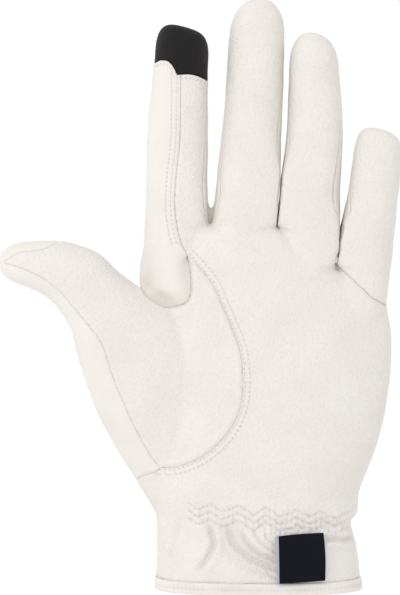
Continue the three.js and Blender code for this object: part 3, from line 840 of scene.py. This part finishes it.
# one stitch: a slim bead lying in the leather along the row
def addStitch(bm, surface, place, ahead, pitch):
    length, thick = pitch * thread["fill"], thread["thick"]
    ends = []
    for share in (-thread["reach"], 0, thread["reach"]):
        x, z = (np.asarray(place) + (np.asarray(ahead) - place) * share) * mm
        hit, normal, _, _ = surface.ray_cast(Vector((x, rayFrom * mm, z)), Vector((0, 1, 0)))
        if hit is None:
            return
        ends.append((hit, normal))
    way = (ends[2][0] - ends[0][0]).normalized()
    up = ends[1][1]
    side = up.cross(way).normalized()
    up = way.cross(side)
    turn = Matrix((way, side, up)).transposed().to_4x4()
    size = Matrix.Diagonal((length / 2 * mm, thick / 2 * mm, thick / 2 * mm, 1))
    centre = Matrix.Translation(ends[1][0] + up * thick * thread["proud"] * mm)
    spin = Matrix.Rotation(math.pi / 2, 4, "Y")
    bmesh.ops.create_uvsphere(bm, u_segments=6, v_segments=5, radius=1, matrix=centre @ turn @ size @ spin)


surface = BVHTree.FromBMesh(bm)
bm.faces.ensure_lookup_table()
threadForm = bmesh.new()
for row in stitchRows:
    for number in range(row["rows"]):
        places = besideLine(row["line"], row["first"] + number * row["spacing"], row["pitch"])
        for place, ahead in zip(places, places[1:]):
            hit = surface.ray_cast(Vector((place[0], rayFrom, place[1])) * mm, Vector((0, 1, 0)))
            if hit[0] and panelNames[bm.faces[hit[2]][panelLayer]] == row["panel"]:
                addStitch(threadForm, surface, place, ahead, row["pitch"])
waist = np.linspace(smock["from"], smock["to"], 400)
for row in smock["rows"]:
    line = np.stack([waist, smockMiddle(waist) + row + zigzag(waist)], axis=1)
    places = besideLine(line, 0, smock["pitch"])
    for place, ahead in zip(places, places[1:]):
        addStitch(threadForm, surface, place, ahead, smock["pitch"])
print("stitches:", len(threadForm.faces), "faces")


# Materials

leatherTones = {
    "grained": (0.72, 0.687, 0.655), "smooth": (0.73, 0.7, 0.662), "thread": (0.77, 0.745, 0.71),
    "cap": (0.011, 0.01, 0.01), "label": (0.002, 0.002, 0.006), "labelEdge": (0.42, 0.45, 0.5),
}


# a shader socket that can be used in sums
class Wire:
    def __init__(self, tree, socket=None):
        self.tree = tree
        self.socket = socket

    def add(self, kind, settings=None, sockets=None, output=0):
        node = self.tree.nodes.new(kind)
        for name, setting in (settings or {}).items():
            setattr(node, name, setting)
        for name, value in (sockets or {}).items():
            if isinstance(value, Wire):
                self.tree.links.new(value.socket, node.inputs[name])
            else:
                node.inputs[name].default_value = value
        return Wire(self.tree, node.outputs[output])

    def math(self, operation, first, second=0.0):
        return self.add("ShaderNodeMath", {"operation": operation}, {0: first, 1: second})

    def __add__(self, other):
        return self.math("ADD", self, other)

    def __sub__(self, other):
        return self.math("SUBTRACT", self, other)

    def __rsub__(self, other):
        return self.math("SUBTRACT", other, self)

    def __mul__(self, other):
        return self.math("MULTIPLY", self, other)

    __radd__ = __add__
    __rmul__ = __mul__

    def ramp(self, low, high):
        settings = {"interpolation_type": "SMOOTHSTEP"}
        return self.add("ShaderNodeMapRange", settings, {"Value": self, "From Min": low, "From Max": high})


def blended(share, first, second):
    sockets = {"Factor": share, 6: (*first, 1) if isinstance(first, tuple) else first}
    sockets[7] = (*second, 1) if isinstance(second, tuple) else second
    return share.add("ShaderNodeMix", {"data_type": "RGBA"}, sockets, output=2)


def newMaterial(name, constants):
    material = bpy.data.materials.new(name)
    material.use_nodes = True
    shader = material.node_tree.nodes["Principled BSDF"]
    for socket, value in constants.items():
        shader.inputs[socket].default_value = value
    return material, Wire(material.node_tree)


# a tone made darker or paler by one share, or by one for each colour
def shaded(tone, share):
    return tuple(np.multiply(tone, share))


def finish(material, colour, roughness, height):
    tree = material.node_tree
    shader = tree.nodes["Principled BSDF"]
    bump = height.add("ShaderNodeBump", {}, {"Height": height, "Distance": mm, "Strength": 1.0})
    tree.links.new(colour.socket, shader.inputs["Base Color"])
    tree.links.new(roughness.socket, shader.inputs["Roughness"])
    tree.links.new(bump.socket, shader.inputs["Normal"])
    return material


def objectPlace(wire):
    place = wire.add("ShaderNodeTexCoord", output=3)
    return wire.add("ShaderNodeVectorMath", {"operation": "SCALE"}, {0: place, "Scale": 1 / mm})


def noise(wire, place, scale, detail=2.0):
    return wire.add("ShaderNodeTexNoise", {}, {"Vector": place, "Scale": scale, "Detail": detail})


def attribute(wire, name):
    return wire.add("ShaderNodeAttribute", {"attribute_name": name}, output=2)


# dark is how much painted shade lies inside each needle hole
holeShape = {"across": 1.9, "along": 1.7, "inner": 0.16, "outer": 0.4, "depth": 0.12, "dark": 0.16}


# needle holes between the stitches of the rows beside a seam; the mask dents the bump and places painted
# shade
def needleHoles(wire):
    along = attribute(wire, "stitch_along")
    beside = attribute(wire, "stitch_away")
    near = attribute(wire, "stitch_near")
    acrossRow = (wire.math("FRACT", beside) - 0.5) * holeShape["across"]
    alongRow = (wire.math("FRACT", along) - 0.5) * holeShape["along"]
    away = wire.math("SQRT", acrossRow * acrossRow + alongRow * alongRow)
    return near * (1 - away.ramp(holeShape["inner"], holeShape["outer"]))


leatherLook = {
    "edge": (0.1, 0.6), "fineDepth": 0.05, "patches": (0.35, 0.65), "grainPale": 0.4, "paintedCreaseShade": 0.5,
    "pale": 1.015, "worn": (0.985, 0.98, 0.972), "deep": (0.66, 0.61, 0.56), "hole": 0.5, "rough": 0.5,
}


def leather(name, tone, grainSize, grainDepth):
    material, wire = newMaterial(name, {"Specular IOR Level": 0.35})
    place = objectPlace(wire)
    settings = {"feature": "SMOOTH_F1"}
    sockets = {"Vector": place, "Scale": 1 / grainSize, "Smoothness": 0.5, "Randomness": 0.9}
    cells = wire.add("ShaderNodeTexVoronoi", settings, sockets)
    broad = noise(wire, place, 0.06, 3.0)
    fine = noise(wire, place, 1.7, 4.0)
    grain = 1 - cells.ramp(*leatherLook["edge"])
    # painted shade of dips, creases and seams, read from the crease attribute
    crease = attribute(wire, "crease")
    holes = needleHoles(wire)
    height = grain * grainDepth + fine * leatherLook["fineDepth"] - holes * holeShape["depth"]
    # deep is the tone of the painted shade in dips and seams, pricked the tone of the painted shade in needle
    # holes
    pale, worn, deep, pricked = [shaded(tone, leatherLook[look]) for look in ("pale", "worn", "deep", "hole")]
    colour = blended(broad.ramp(*leatherLook["patches"]), worn, pale)
    colour = blended(grain * leatherLook["grainPale"], colour, pale)
    # painted shade: darker, warmer leather in dips, creases and along seams
    colour = blended(crease * leatherLook["paintedCreaseShade"], colour, deep)
    # painted shade inside the needle holes
    colour = blended(holes * holeShape["dark"], colour, pricked)
    return finish(material, colour, leatherLook["rough"] + fine * 0.18, height)


def threadMaterial():
    material, wire = newMaterial("thread", {"Specular IOR Level": 0.3, "Sheen Weight": 0.15})
    place = objectPlace(wire)
    twist = wire.add("ShaderNodeTexWave", {"bands_direction": "DIAGONAL"}, {"Vector": place, "Scale": 1.6})
    fibres = noise(wire, place, 4.0)
    tone = leatherTones["thread"]
    colour = blended(twist * 0.5 + fibres * 0.3, shaded(tone, 0.86), tone)
    return finish(material, colour, 0.62 + fibres * 0.15, twist * 0.05 + fibres * 0.03)


knit = {"columnPitch": 0.62, "rowPitch": 0.75, "arch": 0.9, "archTurn": 2.2, "dark": 0.55, "pale": 1.9}


# knitted rows of small loops
def knitMaterial():
    material, wire = newMaterial("touch_knit", {"Specular IOR Level": 0.18, "Sheen Weight": 0.06})
    place = objectPlace(wire)
    parts = [wire.add("ShaderNodeSeparateXYZ", {}, {0: place}, output=k) for k in range(3)]
    column = wire.math("SINE", parts[0] * (2 * math.pi / knit["columnPitch"]))
    arch = wire.math("ABSOLUTE", column) * knit["arch"]
    turn = parts[2] * (2 * math.pi / knit["rowPitch"]) + arch * knit["archTurn"] + parts[1] * 2.0
    fibres = noise(wire, place, 3.0, 4.0)
    loops = wire.math("SINE", turn) * 0.5 + 0.5
    height = loops * 0.09 + wire.math("ABSOLUTE", column) * 0.05 + fibres * 0.05
    dark, pale = [shaded(leatherTones["cap"], knit[look]) for look in ("dark", "pale")]
    colour = blended(loops * 0.5 + fibres * 0.5, dark, pale)
    return finish(material, colour, 0.78 + fibres * 0.15, height)


weaving = {"wefts": 46, "warps": 62, "offset": 1.5, "selvage": (0.032, 0.04), "dark": 0.6, "pale": 2.1}


def labelMaterial():
    material, wire = newMaterial("label_weave", {"Specular IOR Level": 0.15, "Sheen Weight": 0.02})
    chart = wire.add("ShaderNodeUVMap", {"uv_map": "chart"})
    across = wire.add("ShaderNodeSeparateXYZ", {}, {0: chart}, output=0)
    up = wire.add("ShaderNodeSeparateXYZ", {}, {0: chart}, output=1)
    weft = wire.math("SINE", up * (2 * math.pi * weaving["wefts"])) * 0.5 + 0.5
    offset = wire.math("SIGN", weft - 0.5) * weaving["offset"]
    warp = wire.math("SINE", across * (2 * math.pi * weaving["warps"]) + offset) * 0.5 + 0.5
    fibres = noise(wire, chart, 90.0, 3.0)
    selvage = 1 - (across + up * -0.03).ramp(*weaving["selvage"])
    dark, pale = [shaded(leatherTones["label"], weaving[look]) for look in ("dark", "pale")]
    weave = blended(weft * 0.45 + warp * 0.35 + fibres * 0.2, dark, pale)
    colour = blended(selvage, weave, leatherTones["labelEdge"])
    return finish(material, colour, 0.7 + fibres * 0.2, weft * 0.06 + warp * 0.04 + fibres * 0.03)


materials = {
    "grained_leather": leather("grained_leather", leatherTones["grained"], grainSize=1.15, grainDepth=0.14),
    "smooth_leather": leather("smooth_leather", leatherTones["smooth"], grainSize=0.7, grainDepth=0.03),
    "touch_fabric": knitMaterial(),
    "woven_label": labelMaterial(),
    "thread": threadMaterial(),
}


def dress(piece, material, slot, *nodes):
    piece.data.materials.clear()
    piece.data.materials.append(materials[material])
    piece.data.shade_smooth()
    if nodes:
        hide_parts(*nodes)
    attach(piece, "root")


def nodeSlot(node):
    return next(part["material_slot"] for part in frame["record"]["subparts"] if part["node"] == node)


# Panels: each a wall of leather

# the crease attribute holds the painted shade of dips, creases and seams; the stitch attributes place the
# needle holes
paintedShadeLayer = bm.verts.layers.float.new("crease")
alongLayer = bm.verts.layers.float.new("stitch_along")
awayLayer = bm.verts.layers.float.new("stitch_away")
nearLayer = bm.verts.layers.float.new("stitch_near")
along = np.zeros(len(points))
beside = np.zeros(len(points))
nearRow = np.zeros(len(points))


# how far along a line and to its left the points lie, in X and Z
def onLine(points, line):
    line = np.asarray(line, float)
    gone = np.concatenate([[0], np.cumsum(np.linalg.norm(np.diff(line, axis=0), axis=1))])
    best = np.full(len(points), 1e9)
    place = np.zeros(len(points))
    left = np.zeros(len(points))
    for k, (a, b) in enumerate(zip(line, line[1:])):
        way = b - a
        length = max(np.linalg.norm(way), 1e-9)
        dx, dz = points[:, 0] - a[0], points[:, 2] - a[1]
        t = np.clip((dx * way[0] + dz * way[1]) / length**2, 0, 1)
        away = np.hypot(dx - t * way[0], dz - t * way[1])
        nearer = away < best
        best = np.where(nearer, away, best)
        place = np.where(nearer, gone[k] + t * length, place)
        left = np.where(nearer, np.sign(way[0] * dz - way[1] * dx) * away, left)
    return place, left


# The stitches' own coordinates reach past the rows, so that none of their edges shows
rowChart = {"before": -1, "past": 1.5, "facing": 0.2, "smockReach": 9, "smockHoles": 6, "smockFrom": 0.3}
for row in stitchRows:
    place, left = onLine(points, row["line"])
    last = row["first"] + row["rows"] * row["spacing"]
    around = (panelOf == panelNames.index(row["panel"])) & (normals[:, 1] < rowChart["facing"])
    around &= (left > rowChart["before"]) & (left < last + rowChart["past"])
    along = np.where(around, place / row["pitch"], along)
    beside = np.where(around, np.clip((left - row["first"]) / row["spacing"] + 0.5, 0, row["rows"]), beside)
    nearRow = np.where(around, left < last, nearRow)
around = np.abs(fromMiddle) < rowChart["smockReach"]
rowCount = len(smock["rows"])
rowGap = smock["rows"][2] - smock["rows"][1]
fromFirst = (fromMiddle - zigzag(points[:, 0])) / rowGap + rowCount / 2
along = np.where(around, points[:, 0] / smock["pitch"], along)
beside = np.where(around, np.clip(fromFirst, 0, rowCount), beside)
pricked = (inBand > rowChart["smockFrom"]) & (np.abs(fromMiddle) < rowChart["smockHoles"])
nearRow = np.where(pricked, 1.0, nearRow)
for vert, *values in zip(bm.verts, np.clip(paintedShade, 0, 1), along, beside, nearRow):
    vert[paintedShadeLayer], vert[alongLayer], vert[awayLayer], vert[nearLayer] = values

pieceNames = {"index_tip_cap": "index_tip_cap_knit"}
for number, name in enumerate(panelNames):
    shape = bm.copy()
    panel = shape.faces.layers.int["panel"]
    bmesh.ops.delete(shape, geom=[face for face in shape.faces if face[panel] != number], context="FACES")
    piece = newObject(pieceNames.get(name, name + "_leather"), meshOf(name, shape))
    shape.free()
    wall = piece.modifiers.new("wall", "SOLIDIFY")
    wall.thickness = skin["wall"] * mm
    wall.offset = -1
    slot = nodeSlot(name)
    dress(piece, slot, slot, name)
    print(name, len(piece.data.polygons), "faces")

stitches = newObject("seam_stitches", meshOf("seam_stitches", threadForm))
dress(stitches, "thread", "smooth_leather")

# Binding folded round the hem

hemProfile = table(
    "out up",
    (-1.75, 4.2), (-1.8, 2.4), (-1.75, 0.6), (-1.2, 0.02), (0.1, 0.02), (0.6, 0.5), (0.72, 2.2),
    (0.62, 3.9), (0.3, 4.55), (-0.1, 4.6), (-1.2, 4.55),
)


def hemRings():
    turns = turnsOf(hem["columns"])
    profile = smoothCurve([list(row.values()) for row in hemProfile], 3)
    rings = []
    for out, up in profile:
        ring = handRing(handLevelAt(max(up, 0)), turns, grow=out, gathers=hem["gathers"])
        ring[:, 2] = up
        rings.append(ring)
    return rings


hemForm = bmesh.new()
first, last = loft(hemForm, hemRings())
bmesh.ops.bridge_loops(hemForm, edges=first + last)
bmesh.ops.recalc_face_normals(hemForm, faces=hemForm.faces)
hemPoints = pointsOf(hemForm)
hemNormals = normalsOf(hemForm)
hemUp = hemPoints[:, 2]
gone = np.arctan2(hemPoints[:, 1], hemPoints[:, 0]) * hem["around"]
dimples = bell(hemUp - hem["stitchHeight"], hem["stitchWidth"]) * ramp(hemUp, 0.2, 1.0)
outside = (hemNormals * hemPoints * (1, 1, 0)).sum(axis=1) > 0
pull = hem["stitchPull"] * np.cos(2 * math.pi * gone / hem["stitchPitch"]) - hem["stitchSink"]
hemPush = outside * (dimples * pull + hem["uneven"] * ripples(hemPoints, 7, 8) * ramp(hemUp, 0.1, 2))
placePoints(hemForm, hemPoints + hemNormals * hemPush[:, None])
# painted shade in the binding's stitch dimples, the deeper the darker
hemPaintedShade = hemForm.verts.layers.float.new("crease")
for vert, value in zip(hemForm.verts, np.clip(-hemPush / 0.6, 0, 1) * outside):
    vert[hemPaintedShade] = value
binding = newObject("hem_binding_leather", meshOf("hem_binding", hemForm))
dress(binding, "smooth_leather", "smooth_leather", "hem_binding")

# Woven label on the cuff, bare, with a pale folded edge on its left

label = {
    "corners": [(6.5, 4.9), (24.7, 5.6), (24.2, 23.4), (5.7, 22.4)], "off": 1.1, "thick": 0.7, "cuts": 40,
    "sideBow": 0.4, "topBow": 0.35, "acrossBulge": 0.5, "upBulge": 0.25, "leftIn": 0.5, "rightIn": 0.3,
    "edge": 0.15,
}


def labelPlace(across, up):
    low = np.array(label["corners"][0]) * (1 - across) + np.array(label["corners"][1]) * across
    high = np.array(label["corners"][3]) * (1 - across) + np.array(label["corners"][2]) * across
    x, z = low * (1 - up) + high * up
    x += label["sideBow"] * math.sin(math.pi * up) * across
    z += label["topBow"] * math.sin(math.pi * across) * up
    ring = handRing(handLevelAt(z), np.linspace(math.pi, 2 * math.pi, 181), grow=label["off"], gathers=0)
    bulge = label["acrossBulge"] * math.sin(math.pi * across) + label["upBulge"] * math.sin(math.pi * up)
    lifted = label["leftIn"] * (1 - across) ** 4 + label["rightIn"] * across**8
    return Vector((x, np.interp(x, ring[:, 0], ring[:, 1]) - bulge * 0.5 - lifted, z)) * mm


labelForm = bmesh.new()
chart = labelForm.loops.layers.uv.new("chart")
bmesh.ops.create_grid(labelForm, x_segments=label["cuts"], y_segments=label["cuts"], size=0.5)
for face in labelForm.faces:
    for loop in face.loops:
        loop[chart].uv = (loop.vert.co.x + 0.5, loop.vert.co.y + 0.5)
for vert in labelForm.verts:
    vert.co = labelPlace(vert.co.x + 0.5, vert.co.y + 0.5)
bmesh.ops.recalc_face_normals(labelForm, faces=labelForm.faces)
if labelForm.faces[0].normal.y > 0:
    bmesh.ops.reverse_faces(labelForm, faces=labelForm.faces)
tab = newObject("label_tab_woven", meshOf("label_tab", labelForm))
wall = tab.modifiers.new("wall", "SOLIDIFY")
wall.thickness = label["thick"] * mm
wall.offset = 1
edge = tab.modifiers.new("edge", "BEVEL")
edge.width = label["edge"] * mm
edge.segments = 2
dress(tab, "woven_label", "woven_label", "label_tab")
print("label and hem made")

# Studio: pale floor, soft light and the camera

studio = {
    "floor": -0.03, "size": 3.0, "camera": (-0.02285, -0.815, 0.1135), "view": 16.25,
    "lamp": (-0.75, -0.95, 0.85), "lampSize": 0.7, "lampPower": 4.5, "aim": (0, 0, 0.11),
}
floorForm = bmesh.new()
bmesh.ops.create_grid(floorForm, x_segments=2, y_segments=2, size=studio["size"])
floor = newObject("floor", meshOf("floor", floorForm))
floor.data.transform(Matrix.Translation((0, 0, studio["floor"])))
paperLook = {"Base Color": (0.9, 0.9, 0.9, 1), "Roughness": 0.9}
paperGlow = {"Emission Color": (1, 1, 1, 1), "Emission Strength": 0.12}
floor.data.materials.append(newMaterial("paper", {**paperLook, **paperGlow})[0])
floor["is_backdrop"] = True

world = bpy.data.worlds.new("studio")
world.use_nodes = True
world.node_tree.nodes["Background"].inputs["Color"].default_value = (1, 1, 1, 1)
world.node_tree.nodes["Background"].inputs["Strength"].default_value = 1.0
bpy.context.scene.world = world
bpy.context.scene.view_settings.view_transform = "Standard"

keyLight = bpy.data.lights.new("key", "AREA")
keyLight.shape = "DISK"
keyLight.size = studio["lampSize"]
keyLight.energy = studio["lampPower"]
lamp = newObject("key", keyLight)
lamp.location = studio["lamp"]
lamp.rotation_euler = (Vector(studio["aim"]) - lamp.location).to_track_quat("-Z", "Y").to_euler()

camera = bpy.data.cameras.new("camera")
camera.sensor_fit = "VERTICAL"
camera.lens = camera.sensor_height / 2 / math.tan(math.radians(studio["view"]) / 2)
viewer = newObject("camera", camera)
viewer.location = studio["camera"]
viewer.rotation_euler = (math.pi / 2, 0, 0)
bpy.context.scene.camera = viewer

low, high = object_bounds()
